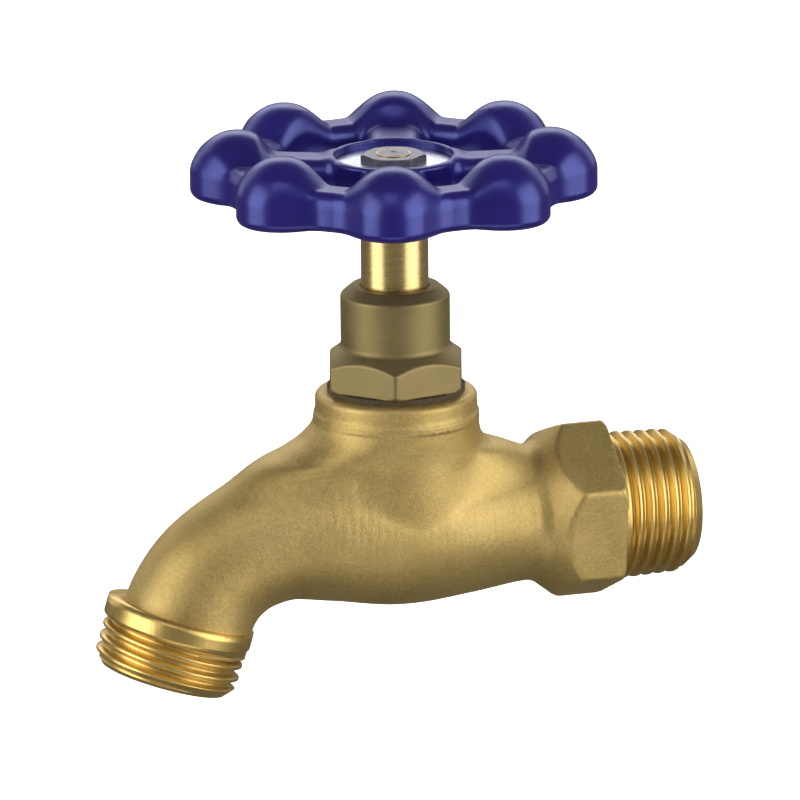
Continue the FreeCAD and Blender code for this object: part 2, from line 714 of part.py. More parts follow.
def make_ring(name, height):
    """One o-ring on the spindle, squeezed between its groove and the bonnet."""
    item = doc.addObject("Part::Torus", name + "_torus")
    outer = "stem_bore - ring_gap"
    link(
        item, Radius1="(%s + groove_radius) / 2" % outer,
        Radius2="(%s - groove_radius) / 2" % outer)
    place(item, x="stem_x", z=height)
    keep(item, name)


def make_jumper():
    """The loose valve: a disc with a stalk in the spindle and a stud below."""
    nut_bottom = "seat_height - washer_nut_height"
    body = new_body("jumper_piece")
    turn(body, "jumper_turn", (
        ("0", nut_bottom + " - stud_end"),
        ("jumper_stud_radius", nut_bottom + " - stud_end"),
        ("jumper_stud_radius", "washer_top"),
        ("jumper_radius", "washer_top"),
        ("jumper_radius", "jumper_top"),
        ("jumper_stalk_radius", "jumper_top"),
        ("jumper_stalk_radius", "jumper_top + jumper_stalk_length"),
        ("0", "jumper_top + jumper_stalk_length"),
    ))
    keep(body, "jumper")
    washer = new_body("washer_piece")
    turn(washer, "washer_turn", (
        ("washer_bore", "seat_height"),
        ("washer_radius", "seat_height"),
        ("washer_radius", "washer_top"),
        ("washer_bore", "washer_top"),
    ))
    keep(washer, "seat_washer")
    make_nut(
        "washer_nut", "washer_nut_flats", "washer_nut_height",
        nut_bottom, "jumper_stud_radius + thread_fit")


def make_nut(name, flats, height, foot, bore):
    """A hexagon nut with its upper corners turned off."""
    body = new_body(name + "_piece", "wheel_turn")
    sketch = sketch_on(body, name + "_outline", "XY_Plane", foot)
    hexagon(sketch, flats)
    circle(sketch, bore)
    raise_sketch(body, name + "_hex", sketch, height)
    corner = "(%s) / 2 / cos(30)" % flats
    top = "(%s) + (%s)" % (foot, height)
    turn(body, name + "_cone", (
        (corner + " - nut_chamfer", top),
        (corner, top + " - nut_chamfer_height"),
        (corner + " + overrun", top + " - nut_chamfer_height"),
        (corner + " + overrun", top + " + overrun"),
        (corner + " - nut_chamfer", top + " + overrun"),
    ), kind="Groove")
    keep(body, name)


def make_wheel():
    """The eight-lobed handwheel with four spokes and its hub."""
    body = new_body("handwheel_piece", "wheel_turn")
    add_rim(body)
    add_hub(body)
    add_spokes(body)
    sketch = sketch_on(body, "square_hole_outline", "XY_Plane", "plate_seat")
    outline(sketch, square_points("square_side / 2 + square_clearance"))
    sink_sketch(body, "square_hole", sketch, "hub_height")
    keep(body, "handwheel")


def add_rim(body):
    """The wheel's rim with its eight rounded lobes."""
    turn(body, "rim", (
        ("rim_inner_radius", "rim_bottom"),
        ("rim_radius", "rim_bottom"),
        ("rim_radius", "rim_top"),
        ("rim_inner_radius", "rim_top"),
    ))
    sketch = sketch_on(body, "lobe_outline", "XY_Plane", "rim_bottom")
    circle(sketch, "lobe_radius", across="lobe_centre")
    lobe = raise_sketch(body, "lobe", sketch, "rim_height")
    lobes = round_pattern(body, "lobes", [lobe], 8)
    blended = round_edges(body, "lobe_blends", lobes, is_lobe_seam, "lobe_blend")
    crowned = round_edges(body, "rim_crown", blended, is_rim_top, "rim_round")
    round_edges(body, "rim_foot", crowned, is_rim_foot, "rim_bottom_round")
    cap = turn(body, "lobe_cap", (
        ("lobe_centre", "rim_top - rim_round"),
        ("lobe_centre + cap_half", "rim_top - rim_round", "cap_radius"),
        ("lobe_centre", "lobe_top"),
    ), axis="Edge3")
    round_pattern(body, "lobe_caps", [cap], 8)
    turn(body, "rim_inside", (
        ("0", "rim_bottom - overrun"),
        ("rim_inner_radius", "rim_bottom - overrun"),
        ("rim_inner_radius", "lobe_top + overrun"),
        ("0", "lobe_top + overrun"),
    ), kind="Groove")


def add_hub(body):
    """The wheel's hub with the recess for its plate."""
    turn(body, "hub", (
        ("0", "wheel_foot"),
        ("hub_foot_radius", "wheel_foot"),
        ("hub_radius", "rim_bottom"),
        ("hub_radius", "wheel_foot + hub_height"),
        ("plate_radius + plate_clearance", "wheel_foot + hub_height"),
        ("plate_radius + plate_clearance", "plate_seat"),
        ("0", "plate_seat"),
    ))


def add_spokes(body):
    """The four spokes between the hub and the rim."""
    sketch = sketch_on(body, "spoke_outline", "XY_Plane", "spoke_top - spoke_height")
    outline(sketch, (
        ("hub_radius - overlap", "-spoke_width / 2"),
        ("rim_inner_radius + overlap", "-spoke_width / 2"),
        ("rim_inner_radius + overlap", "spoke_width / 2"),
        ("hub_radius - overlap", "spoke_width / 2"),
    ))
    spoke = raise_sketch(body, "spoke", sketch, "spoke_height")
    spokes = round_pattern(body, "spokes", [spoke], 4)
    round_edges(body, "spoke_crown", spokes, is_spoke_top, "spoke_round")


def from_axis(edge):
    """Distance of the middle of an edge from a body's own axis."""
    middle = edge.valueAt((edge.FirstParameter + edge.LastParameter) / 2)
    return math.hypot(middle.x, middle.y)


def is_lobe_seam(edge):
    """True for the upright edges where a lobe leaves the rim."""
    upright = edge.BoundBox.ZLength > number("rim_height") - TOLERANCE
    return upright and abs(from_axis(edge) - number("rim_radius")) < TOLERANCE


def is_level_at(edge, height):
    """True for an edge that lies level at a height."""
    box = edge.BoundBox
    return box.ZLength < TOLERANCE and abs(box.ZMax - number(height)) < TOLERANCE


def is_rim_top(edge):
    """True for the outer outline of the rim's top face."""
    outer = from_axis(edge) > number("rim_radius - overlap")
    return outer and is_level_at(edge, "rim_top")


def is_rim_foot(edge):
    """True for the outer outline of the rim's underside."""
    outer = from_axis(edge) > number("rim_radius - overlap")
    return outer and is_level_at(edge, "rim_bottom")


def is_spoke_top(edge):
    """True for the two long upper edges of a spoke."""
    between = number("hub_radius") < from_axis(edge) < number("rim_inner_radius - overlap")
    return between and is_level_at(edge, "spoke_top")


def make_plate():
    """The round plate that covers the hub."""
    body = new_body("plate_piece")
    turn(body, "plate_turn", (
        ("wheel_stud_radius + thread_fit", "plate_seat"),
        ("plate_radius", "plate_seat"),
        ("plate_radius", "plate_top"),
        ("wheel_stud_radius + thread_fit", "plate_top"),
    ))
    keep(body, "wheel_plate")


def check_document():
    """Stops if anything in the model failed, or a sub-part isn't sound."""
    doc.recompute()
    for item in doc.Objects:
        if "Invalid" in item.State or "Error" in item.State:
            raise RuntimeError("%s is %s" % (item.Name, item.State))
    for item in parts:
        if item.Shape.isNull() or not item.Shape.isValid():
            raise RuntimeError("%s has no sound shape" % item.Label)


def write_parts():
    """Writes one file for each sub-part."""
    os.makedirs("parts", exist_ok=True)
    for item in parts:
        item.Shape.exportStep("parts/%s.step" % item.Label)
        box = item.Shape.BoundBox
        print("%-16s solids %d  volume %10.3f  x %7.2f %7.2f  y %7.2f %7.2f  z %7.2f %7.2f" % (
            item.Label, len(item.Shape.Solids), item.Shape.Volume,
            box.XMin, box.XMax, box.YMin, box.YMax, box.ZMin, box.ZMax))


make_body()
make_gasket()
make_bonnet()
make_spindle()
make_ring("lower_o_ring", "lower_ring")
make_ring("upper_o_ring", "upper_ring")
make_jumper()
make_wheel()
make_plate()
make_nut(
    "wheel_nut", "wheel_nut_flats", "wheel_nut_height",
    "plate_top", "wheel_stud_radius + thread_fit")
check_document()
write_parts()
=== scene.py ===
import json
import math

import bpy
import numpy as np
from mathutils import Matrix, Vector


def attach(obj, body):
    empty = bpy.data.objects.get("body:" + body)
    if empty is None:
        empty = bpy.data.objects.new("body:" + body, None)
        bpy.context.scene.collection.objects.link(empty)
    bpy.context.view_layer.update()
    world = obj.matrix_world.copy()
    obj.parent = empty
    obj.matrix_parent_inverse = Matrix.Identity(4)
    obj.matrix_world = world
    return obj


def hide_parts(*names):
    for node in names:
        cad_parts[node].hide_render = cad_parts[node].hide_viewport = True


# The looks of a brass bib tap with a blue handwheel.
# Shapes are worked out in millimetres, in the model's frame, and become metres when a mesh is made.
# A field is a function of x, y and z that is below zero inside a shape, and about as large as the
# distance from its surface.

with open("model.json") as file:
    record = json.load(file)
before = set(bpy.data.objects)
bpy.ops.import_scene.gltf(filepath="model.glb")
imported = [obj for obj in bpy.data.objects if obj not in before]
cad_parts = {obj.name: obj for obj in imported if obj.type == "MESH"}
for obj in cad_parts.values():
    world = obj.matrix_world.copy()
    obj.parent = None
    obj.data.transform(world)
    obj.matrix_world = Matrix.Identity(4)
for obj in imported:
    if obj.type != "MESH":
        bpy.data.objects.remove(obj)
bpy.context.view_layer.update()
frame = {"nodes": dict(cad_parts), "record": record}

MM = 0.001

# The stem's axis, and how far the closed wheel and the bonnet are turned round it
STEM_X = -30.5
STEM_TURN = math.radians(-18.5)

# Steps of the grids that the carved pieces are read from
BODY_STEP = 0.37
BONNET_STEP = 0.22
WHEEL_STEP = 0.31

# Names with COS or EASE are factors that turn a slanting side's values into distances
COS_45 = 0.707


# Ways to join shapes that are given as distances

def union_round(a, b, radius):
    """Both shapes, with a hollow fillet where they meet."""
    gap_a = np.maximum(radius - a, 0)
    gap_b = np.maximum(radius - b, 0)
    return np.maximum(radius, np.minimum(a, b)) - np.sqrt(gap_a ** 2 + gap_b ** 2)


def common_round(a, b, radius):
    """What both shapes share, with the edge rounded."""
    over_a = np.maximum(radius + a, 0)
    over_b = np.maximum(radius + b, 0)
    return np.minimum(-radius, np.maximum(a, b)) + np.sqrt(over_a ** 2 + over_b ** 2)


def smooth_union(a, b, width):
    """Both shapes, melted into each other over a width."""
    share = np.clip(0.5 + 0.5 * (b - a) / width, 0, 1)
    return b * (1 - share) + a * share - width * share * (1 - share)


def smooth_step(low, high, value):
    """From 0 at low to 1 at high, which may be the smaller."""
    t = np.clip((value - low) / (high - low), 0, 1)
    return t * t * (3 - 2 * t)


def through(rows, count):
    """A smooth curve through rows of numbers, with some points from each row to the next."""
    rows = np.array(rows, float)
    ends = np.vstack([2 * rows[0] - rows[1], rows, 2 * rows[-1] - rows[-2]])
    made = []
    for index in range(len(rows) - 1):
        a, b, c, d = ends[index:index + 4]
        for t in np.linspace(0, 1, count, endpoint=False):
            made.append(0.5 * (2 * b + (c - a) * t + (2 * a - 5 * b + 4 * c - d) * t ** 2
                               + (3 * b - a - 3 * c + d) * t ** 3))
    made.append(rows[-1])
    return np.array(made)


def tube(x, y, z, curve):
    """A round tube along a curve of x, z and radius in the middle plane."""
    made = None
    for (ax, az, ar), (bx, bz, br) in zip(curve[:-1], curve[1:]):
        dx, dz = bx - ax, bz - az
        t = np.clip(((x - ax) * dx + (z - az) * dz) / (dx * dx + dz * dz), 0, 1)
        flat = (x - ax - t * dx) ** 2 + (z - az - t * dz) ** 2
        here = np.sqrt(flat + y ** 2) - (ar + t * (br - ar))
        made = here if made is None else np.minimum(made, here)
    return made


def hexagon(across, up, turn, flats, edge):
    """A hexagonal bar, with its long edges rounded."""
    made = None
    for index in range(3):
        angle = turn + math.radians(60 * index)
        side = np.abs(across * math.cos(angle) + up * math.sin(angle)) - flats / 2
        made = side if made is None else common_round(made, side, edge)
    return made


def turned(x, y):
    """Places across the stem's axis, as the turned wheel and bonnet have them."""
    across_x = (x - STEM_X) * math.cos(STEM_TURN) + y * math.sin(STEM_TURN)
    across_y = y * math.cos(STEM_TURN) - (x - STEM_X) * math.sin(STEM_TURN)
    return across_x, across_y


def fold(reach, angle, count):
    """Places in the nearest of some equal sectors: along its middle line, and beside it."""
    step = 2 * math.pi / count
    local = (angle + step / 2) % step - step / 2
    return reach * np.cos(local), reach * np.sin(local)


# Meshes

CORNERS = [np.array((i, j, k)) for i in (0, 1) for j in (0, 1) for k in (0, 1)]


def cut_cells(inside):
    """The cells of a grid that have corners both inside and outside a shape."""
    size = np.array(inside.shape) - 1
    count = np.zeros(size, np.int8)
    for corner in CORNERS:
        end = size + corner
        count += inside[corner[0]:end[0], corner[1]:end[1], corner[2]:end[2]]
    return np.argwhere((count > 0) & (count < len(CORNERS)))


def cell_points(values, cells):
    """A point in each cell, in the middle of where its edges cross the surface."""
    total = np.zeros((len(cells), 3))
    hits = np.zeros((len(cells), 1))
    for corner in CORNERS:
        for axis in range(3):
            if corner[axis]:
                continue
            other = corner.copy()
            other[axis] = 1
            first = values[tuple((cells + corner).T)]
            second = values[tuple((cells + other).T)]
            cross = ((first < 0) != (second < 0))[:, None]
            share = (first / np.where(first == second, 1, first - second))[:, None]
            total += cross * (corner + share * (other - corner))
            hits += cross
    return cells + total / hits


def cell_faces(inside, cells):
    """A face round each edge of the grid that crosses the surface, from the four cells at it."""
    size = np.array(inside.shape) - 1
    number = np.full(size, -1)
    number[tuple(cells.T)] = np.arange(len(cells))
    faces = []
    for axis in range(3):
        unit = np.zeros(3, int)
        unit[axis] = 1
        side = np.roll(unit, 1)
        up = np.roll(unit, 2)
        shape = np.array(inside.shape) - unit
        start = inside[:shape[0], :shape[1], :shape[2]]
        after = inside[unit[0]:, unit[1]:, unit[2]:]
        edges = np.argwhere(start != after)
        inner = np.all(edges - side - up >= 0, axis=1)
        inner &= np.all(edges < size, axis=1)
        edges = edges[inner]
        ring = [number[tuple((edges - move).T)] for move in (0 * unit, side, side + up, up)]
        quads = np.stack(ring, axis=1)
        leaving = start[tuple(edges.T)]
        quads[~leaving] = quads[~leaving][:, ::-1]
        faces.append(quads)
    return np.concatenate(faces)


def skin(field, low, high, step):
    """Points and four-sided faces of the surface where a field is zero."""
    axes = [np.arange(a, b + step, step) for a, b in zip(low, high)]
    values = field(*np.meshgrid(*axes, indexing="ij", sparse=True))
    inside = values < 0
    cells = cut_cells(inside)
    return np.array(low) + step * cell_points(values, cells), cell_faces(inside, cells)


def slope(field, points, step=0.01):
    """The field's gradient at points."""
    made = []
    for axis in range(3):
        move = np.zeros(3)
        move[axis] = step
        ahead = field(*(points + move).T)
        behind = field(*(points - move).T)
        made.append((ahead - behind) / (2 * step))
    return np.stack(made, axis=1)


def relax(points, faces):
    """Moves each point half way to the middle of its neighbours."""
    total = np.zeros_like(points)
    count = np.zeros((len(points), 1))
    for a, b in ((0, 1), (1, 2), (2, 3), (3, 0)):
        for here, there in ((faces[:, a], faces[:, b]), (faces[:, b], faces[:, a])):
            np.add.at(total, here, points[there])
            np.add.at(count, here, 1)
    return (points + total / count) / 2


def settle(field, points, step, rounds=3, least=0.05):
    """Moves points onto the surface where a field is zero, at most half a step each round.

    The squared slope counts as no less than the least, so that a flat place throws no point far.
    """
    for _ in range(rounds):
        way = slope(field, points)
        length = np.maximum((way ** 2).sum(axis=1), least)
        move = way * (field(*points.T) / length)[:, None]
        far = np.linalg.norm(move, axis=1, keepdims=True)
        points = points - move * np.minimum(1, 0.5 * step / np.maximum(far, 1e-9))
    return points


def to_object(name, points, faces, body, material):
    """A mesh object from points in millimetres, on a body, with its finish."""
    mesh = bpy.data.meshes.new(name)
    mesh.from_pydata((np.asarray(points) * MM).tolist(), [], np.asarray(faces).tolist())
    mesh.validate()
    mesh.polygons.foreach_set("use_smooth", [True] * len(mesh.polygons))
    mesh.update()
    made = bpy.data.objects.new(name, mesh)
    bpy.context.scene.collection.objects.link(made)
    made.data.materials.append(material)
    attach(made, body)
    return made


def carve(name, field, low, high, step, body, material):
    """A piece whose surface is where a field is zero, with smooth normals from the field."""
    points, faces = skin(field, low, high, step)
    points = settle(field, relax(relax(points, faces), faces), step)
    made = to_object(name, points, faces, body, material)
    normals = slope(field, points)
    normals /= np.maximum(np.linalg.norm(normals, axis=1, keepdims=True), 1e-9)
    made.data.normals_split_custom_set_from_vertices(normals.tolist())
    return made


def around(rings, count):
    """Faces of rings of points, each closed, with the last ring joined to the first."""
    faces = []
    for ring in range(rings):
        here, after = ring * count, (ring + 1) % rings * count
        for step in range(count):
            right = (step + 1) % count
            faces.append((here + step, here + right, after + right, after + step))
    return faces


def wrap(name, place, rings, count, body, material):
    """A piece from rings of a place along an axis and a radius, or a radius for each point."""
    turn = np.linspace(0, 2 * math.pi, count, endpoint=False)
    points = []
    for along, radius in rings:
        points.append(place(along + 0 * turn, radius + 0 * turn, turn))
    to_object(name, np.concatenate(points), around(len(rings), count), body, material)


# The casting

# Circles that it is drawn through: distance from the stem's axis, height, radius
STATIONS = (
    (20.6, 0.0, 9.3), (15.7, 0.0, 9.5), (8.2, 0.0, 10.45), (0.0, 0.15, 11.2),
    (-8.8, 1.1, 10.85), (-16.6, 0.9, 9.8), (-22.9, -1.3, 9.05), (-27.4, -4.4, 9.0),
    (-30.2, -8.2, 9.15), (-31.7, -12.2, 9.35), (-32.5, -14.8, 9.35))
BARREL = through([(STEM_X + along, height, radius) for along, height, radius in STATIONS], 8)

# Circles of the water way from the valve down the spout: x, height, radius
WATER_STATIONS = (
    (-34.5, 6.0, 5.0), (-42.5, 3.0, 5.6), (-47.1, 0.9, 6.3), (-53.4, -1.3, 6.3),
    (-57.9, -4.4, 6.3), (-60.7, -8.2, 6.5), (-63.3, -12.2, 6.9), (-67.0, -24.0, 6.9))
WATER = through(WATER_STATIONS, 6)

# Ovals of the flare under the collar: height, reach towards the spout and the inlet, half width
FLARE_STATIONS = (
    (0.0, 19.0, 16.0, 8.2), (4.0, 19.6, 16.6, 8.8), (10.0, 19.6, 16.6, 9.2),
    (12.1, 16.2, 13.2, 10.2), (14.0, 13.3, 11.8, 10.9), (16.4, 11.3, 11.3, 11.2),
    (20.0, 11.2, 11.2, 11.2))
FLARE = through(FLARE_STATIONS, 8)
FLARE_TOP = 16.6
FLARE_EASE = 0.8

COLLAR_TOP = 19.9
COLLAR_RADIUS = 11.4
COLLAR_ROUND = 0.9

# The step from the collar's machined band to the cast part below it, which narrows downwards
STEP_TOP = 16.0
STEP_FOOT = 15.75
STEP_DEPTH = 0.14
CAST_TOP = 15.9
CAST_LEAN = 0.028

# The inlet's hexagon, with the cone in front of it
HEX_FLATS = 22.8
HEX_CORNER = HEX_FLATS / 2 / math.cos(math.radians(30))
HEX_TURN = math.radians(6.5)
HEX_EDGE = 0.45
HEX_LENGTH = 11.8
HEX_BACK_CHAMFER = 0.7
HEX_BACK_ROUND = 0.2
CONE_LENGTH = 5.4
CONE_RADIUS = 8.9
CONE_COS = 0.785
CONE_EDGE = 0.35

# The top of the outlet ring, and the way that the outlet faces
OUTLET = np.array([-62.8, 0.0, -10.55])
OUTLET_TILT = math.radians(72.8)
OUTLET_WAY = np.array([-math.cos(OUTLET_TILT), 0.0, -math.sin(OUTLET_TILT)])
OUTLET_ROOT = 3.0

# How softly the casting's shapes run into each other
COLLAR_MELT = 1.2
LEAST_MELT = 0.05
FLARE_MELT = 3.2
FLARE_MELT_FOOT = 1.0
FLARE_MELT_TOP = 10.0
NECK_FILLET = 0.7
SHOULDER_ROUND = 0.15

INLET_BORE = 6.8
INLET_BORE_END = -19.5
CHAMBER_RADIUS = 8.4
CHAMBER_FLOOR = 12.0


def collar(x, y, z):
    """The collar: its machined band, and the cast part below it."""
    across = np.hypot(x - STEM_X, y)
    radius = COLLAR_RADIUS - STEP_DEPTH * smooth_step(STEP_TOP, STEP_FOOT, z)
    radius = radius - CAST_LEAN * np.maximum(CAST_TOP - z, 0)
    return np.maximum(common_round(across - radius, z - COLLAR_TOP, COLLAR_ROUND), -z)


def flare(x, y, z):
    """The cast flare that leads from the collar down to the barrel."""
    left, right, half = (np.interp(z, FLARE[:, 0], FLARE[:, i]) for i in (1, 2, 3))
    middle = STEM_X + (right - left) / 2
    oval = np.sqrt(((x - middle) / ((left + right) / 2)) ** 2 + (y / half) ** 2)
    side = (oval - 1) * half * FLARE_EASE
    return np.maximum(np.maximum(side, z - FLARE_TOP), -z)


def inlet_head(x, y, z):
    """The hexagon with the cone in front of it."""
    across = np.hypot(y, z)
    made = hexagon(-z, y, HEX_TURN + math.radians(30), HEX_FLATS, HEX_EDGE)
    rise = (HEX_CORNER - CONE_RADIUS) / CONE_LENGTH
    slant = (across - CONE_RADIUS - (x + HEX_LENGTH) * rise) * CONE_COS
    made = common_round(made, slant, CONE_EDGE)
    back = (across - (HEX_CORNER - HEX_BACK_CHAMFER) + x) * COS_45
    made = common_round(made, back, HEX_BACK_ROUND)
    return np.maximum(made, -HEX_LENGTH - x)


def casting(x, y, z):
    """The cast body without its threads."""
    made = tube(x, y, z, BARREL)
    past_ring = (x - OUTLET[0]) * OUTLET_WAY[0] + (z - OUTLET[2]) * OUTLET_WAY[2]
    made = np.maximum(made, past_ring - OUTLET_ROOT)
    upper = smooth_union(collar(x, y, z), flare(x, y, z), COLLAR_MELT)
    melt = LEAST_MELT + FLARE_MELT * smooth_step(FLARE_MELT_FOOT, FLARE_MELT_TOP, z)
    made = smooth_union(made, upper, melt)
    made = union_round(made, inlet_head(x, y, z), NECK_FILLET)
    made = common_round(made, x, SHOULDER_ROUND)
    made = np.maximum(made, -tube(x, y, z, WATER))
    inlet = np.maximum(np.hypot(y, z) - INLET_BORE, INLET_BORE_END - x)
    made = np.maximum(made, -inlet)
    chamber = np.maximum(np.hypot(x - STEM_X, y) - CHAMBER_RADIUS, CHAMBER_FLOOR - z)
    return np.maximum(made, -chamber)


# The wheel

RIM_RADIUS = 24.3
RIM_INNER = 17.6
RIM_INNER_ROUND = 0.1
RIM_TOP = 53.8
RIM_TOP_ROUND = 1.9
RIM_BOTTOM = 48.2
RIM_BOTTOM_ROUND = 1.1

LOBES = 8
LOBE_CENTRE = 22.7
LOBE_RADIUS = 5.85
LOBE_BLEND = 2.6

# Each lobe's dome: how far it swells up and down, its middle inside the lobe's, and its curve
LOBE_RISE = 3.65
LOBE_DROP = 0.8
DOME_INSET = 0.8
DOME_RADIUS = 6.9
DOME_POWER = 2.5
DOME_FOOT_POWER = 1.6
DOME_EASE = 0.85

SPOKES = 4
SPOKE_HALF = 4.0
SPOKE_START = 7.0
SPOKE_END = 20.0
SPOKE_TOP = 53.7
SPOKE_LEAN = 0.04
SPOKE_LEAN_START = 9.0
SPOKE_TOP_ROUND = 2.4
SPOKE_BOTTOM = 49.2
SPOKE_BOTTOM_ROUND = 1.2
SPOKE_BLEND = 1.8

# The hub's outside: heights and their radii
HUB_HEIGHTS = (42.0, 43.0, 44.0, 45.5, 47.0, 48.6, 50.0, 60.0)
HUB_RADII = (5.3, 5.5, 6.6, 7.9, 8.8, 9.3, 9.35, 9.35)
HUB_EASE = 0.85
HUB_TOP = 53.9
HUB_TOP_ROUND = 0.5
HUB_FOOT = 43.0
HUB_FOOT_ROUND = 0.3
HUB_BLEND = 1.2
RECESS_RADIUS = 8.3
RECESS_FLOOR = 52.2
RECESS_ROUND = 0.25
SQUARE_HALF = 3.32


def lobed_rim(reach, angle, z):
    """The rim with its lobes, each with a dome on top and a smaller swelling below."""
    along, beside = fold(reach, angle, LOBES)
    from_lobe = np.hypot(along - LOBE_CENTRE, beside)
    outer = union_round(reach - RIM_RADIUS, from_lobe - LOBE_RADIUS, LOBE_BLEND)
    made = common_round(outer, RIM_INNER - reach, RIM_INNER_ROUND)
    from_crest = np.hypot(along - LOBE_CENTRE + DOME_INSET, beside)
    swell = np.clip(1 - (from_crest / DOME_RADIUS) ** DOME_POWER, 0, 1) ** DOME_FOOT_POWER
    top = (z - RIM_TOP - LOBE_RISE * swell) * DOME_EASE
    made = common_round(made, top, RIM_TOP_ROUND)
    return common_round(made, RIM_BOTTOM - LOBE_DROP * swell - z, RIM_BOTTOM_ROUND)


def spokes(reach, angle, z):
    """The spokes, which rise a little towards the rim."""
    along, beside = fold(reach, angle, SPOKES)
    made = np.maximum(np.abs(beside) - SPOKE_HALF, SPOKE_START - along)
    top = SPOKE_TOP + SPOKE_LEAN * (reach - SPOKE_LEAN_START)
    made = common_round(np.maximum(made, reach - SPOKE_END), z - top, SPOKE_TOP_ROUND)
    return common_round(made, SPOKE_BOTTOM - z, SPOKE_BOTTOM_ROUND)


def hub(reach, z):
    """The hub, which narrows to a rounded foot."""
    radius = np.interp(z, HUB_HEIGHTS, HUB_RADII)
    made = common_round((reach - radius) * HUB_EASE, z - HUB_TOP, HUB_TOP_ROUND)
    return common_round(made, HUB_FOOT - z, HUB_FOOT_ROUND)


def wheel(x, y, z):
    """The lobed wheel, with a recess for its plate and a square hole for the spindle."""
    across_x, across_y = turned(x, y)
    reach = np.hypot(across_x, across_y)
    angle = np.arctan2(across_y, across_x)
    made = union_round(lobed_rim(reach, angle, z), spokes(reach, angle, z), SPOKE_BLEND)
    made = union_round(made, hub(reach, z), HUB_BLEND)
    recess = np.maximum(reach - RECESS_RADIUS, RECESS_FLOOR - z)
    made = common_round(made, -recess, RECESS_ROUND)
    square = np.maximum(np.abs(across_x), np.abs(across_y)) - SQUARE_HALF
    return np.maximum(made, -square)


# The bonnet

BONNET_FLATS = 18.5
BONNET_EDGE = 0.3
BONNET_FOOT = 20.7
BONNET_FOOT_RADIUS = 10.1
BONNET_FOOT_EDGE = 0.15
BONNET_FOOT_ROUND = 0.2

# The chamfer above the corners: where it meets the round neck, and the way it faces
SHOULDER_HEIGHT = 26.5
SHOULDER_ACROSS = 0.6
SHOULDER_UP = 0.8
SHOULDER_EDGE = 0.22

BONNET_NECK = 7.7
BONNET_FILLET = 0.35
BONNET_TOP = 35.1
BONNET_TOP_RADIUS = 6.2
BONNET_TOP_EDGE = 0.12
TOP_CONE_SLOPE = 1.15
TOP_CONE_COS = 0.66
TOP_CONE_EDGE = 0.2

BONNET_THREAD_RADIUS = 8.33
BONNET_THREAD_TOP = 20.9
BONNET_END = 12.0
STEM_BORE = 4.8
STEM_BORE_EDGE = 0.15
LOWER_BORE = 6.05
LOWER_BORE_TOP = 23.75


def bonnet(x, y, z):
    """The hexagon head and the round neck above the collar, and the plain thread below."""
    across_x, across_y = turned(x, y)
    reach = np.hypot(across_x, across_y)
    head = hexagon(across_x, across_y, 0.0, BONNET_FLATS, BONNET_EDGE)
    chamfer = (reach - BONNET_NECK) * SHOULDER_ACROSS + (z - SHOULDER_HEIGHT) * SHOULDER_UP
    head = common_round(head, chamfer, SHOULDER_EDGE)
    under = (reach - BONNET_FOOT_RADIUS - (z - BONNET_FOOT)) * COS_45
    head = common_round(head, under, BONNET_FOOT_EDGE)
    head = common_round(head, BONNET_FOOT - z, BONNET_FOOT_ROUND)
    cone = (reach - BONNET_TOP_RADIUS + (z - BONNET_TOP) * TOP_CONE_SLOPE) * TOP_CONE_COS
    neck = common_round(reach - BONNET_NECK, cone, TOP_CONE_EDGE)
    neck = common_round(neck, z - BONNET_TOP, BONNET_TOP_EDGE)
    neck = np.maximum(neck, BONNET_FOOT - z)
    thread = np.maximum(z - BONNET_THREAD_TOP, BONNET_END - z)
    thread = np.maximum(reach - BONNET_THREAD_RADIUS, thread)
    made = np.minimum(union_round(head, neck, BONNET_FILLET), thread)
    made = common_round(made, STEM_BORE - reach, STEM_BORE_EDGE)
    return np.maximum(made, -np.maximum(reach - LOWER_BORE, z - LOWER_BORE_TOP))


# Threads and the end of the stud

THREAD_PITCH = 1.814
THREAD_DEPTH = 0.92
THREAD_POINTS = 256
THREAD_STEP = 0.055

# Shares of half a pitch where a thread's flank starts and ends
FLANK_FOOT = 0.10
FLANK_TOP = 0.85

# How far a threaded end reaches into the casting, and how much thinner it is there
END_ROOT = 1.0
END_ROOT_PLAY = 0.04

# Where the thread starts to grow from the plain land, and where it is whole, from the land's end
RUN_IN_START = -0.3
RUN_IN_END = 0.7

NOSE_EDGE = 0.05
BORE_CHAMFER = 0.3

# The rings of the stud's end in the wheel nut: height, radius
STUD_END = (
    (53.80, 0.15), (53.80, 2.41), (54.02, 2.41), (54.12, 2.33), (54.18, 2.15), (54.19, 1.9),
    (54.24, 0.8), (54.22, 0.6), (54.17, 0.15))
STUD_POINTS = 96


def threaded_end(land, land_radius, crest, taper, length, nose_radius, nose_slope, bore, shift):
    """Rings of a threaded end: its plain land, its thread, its nose and its bore.

    The crest sinks by the taper for each millimetre. The nose narrows to its radius at the very
    end, by its slope. The shift turns the thread, as a share of a turn.
    """
    turn = np.linspace(0, 2 * math.pi, THREAD_POINTS, endpoint=False)
    rings = [(-END_ROOT, bore), (-END_ROOT, land_radius - END_ROOT_PLAY)]
    for along in np.arange(0.0, length, THREAD_STEP):
        phase = (along / THREAD_PITCH - turn / (2 * math.pi) + shift) % 1.0
        ridge = smooth_step(FLANK_FOOT, FLANK_TOP, 1 - np.abs(phase - 0.5) * 2)
        top = crest - taper * along
        fade = smooth_step(land + RUN_IN_START, land + RUN_IN_END, along)
        radius = land_radius + (top - THREAD_DEPTH * (1 - ridge) - land_radius) * fade
        rings.append((along, np.minimum(radius, nose_radius + nose_slope * (length - along))))
    rings.append((length, nose_radius - NOSE_EDGE))
    rings.append((length, bore + BORE_CHAMFER))
    rings.append((length - BORE_CHAMFER, bore))
    return rings


def on_inlet(along, radius, turn):
    """A place on the inlet, in millimetres."""
    return np.stack([along, radius * np.sin(turn), radius * np.cos(turn)], axis=1)


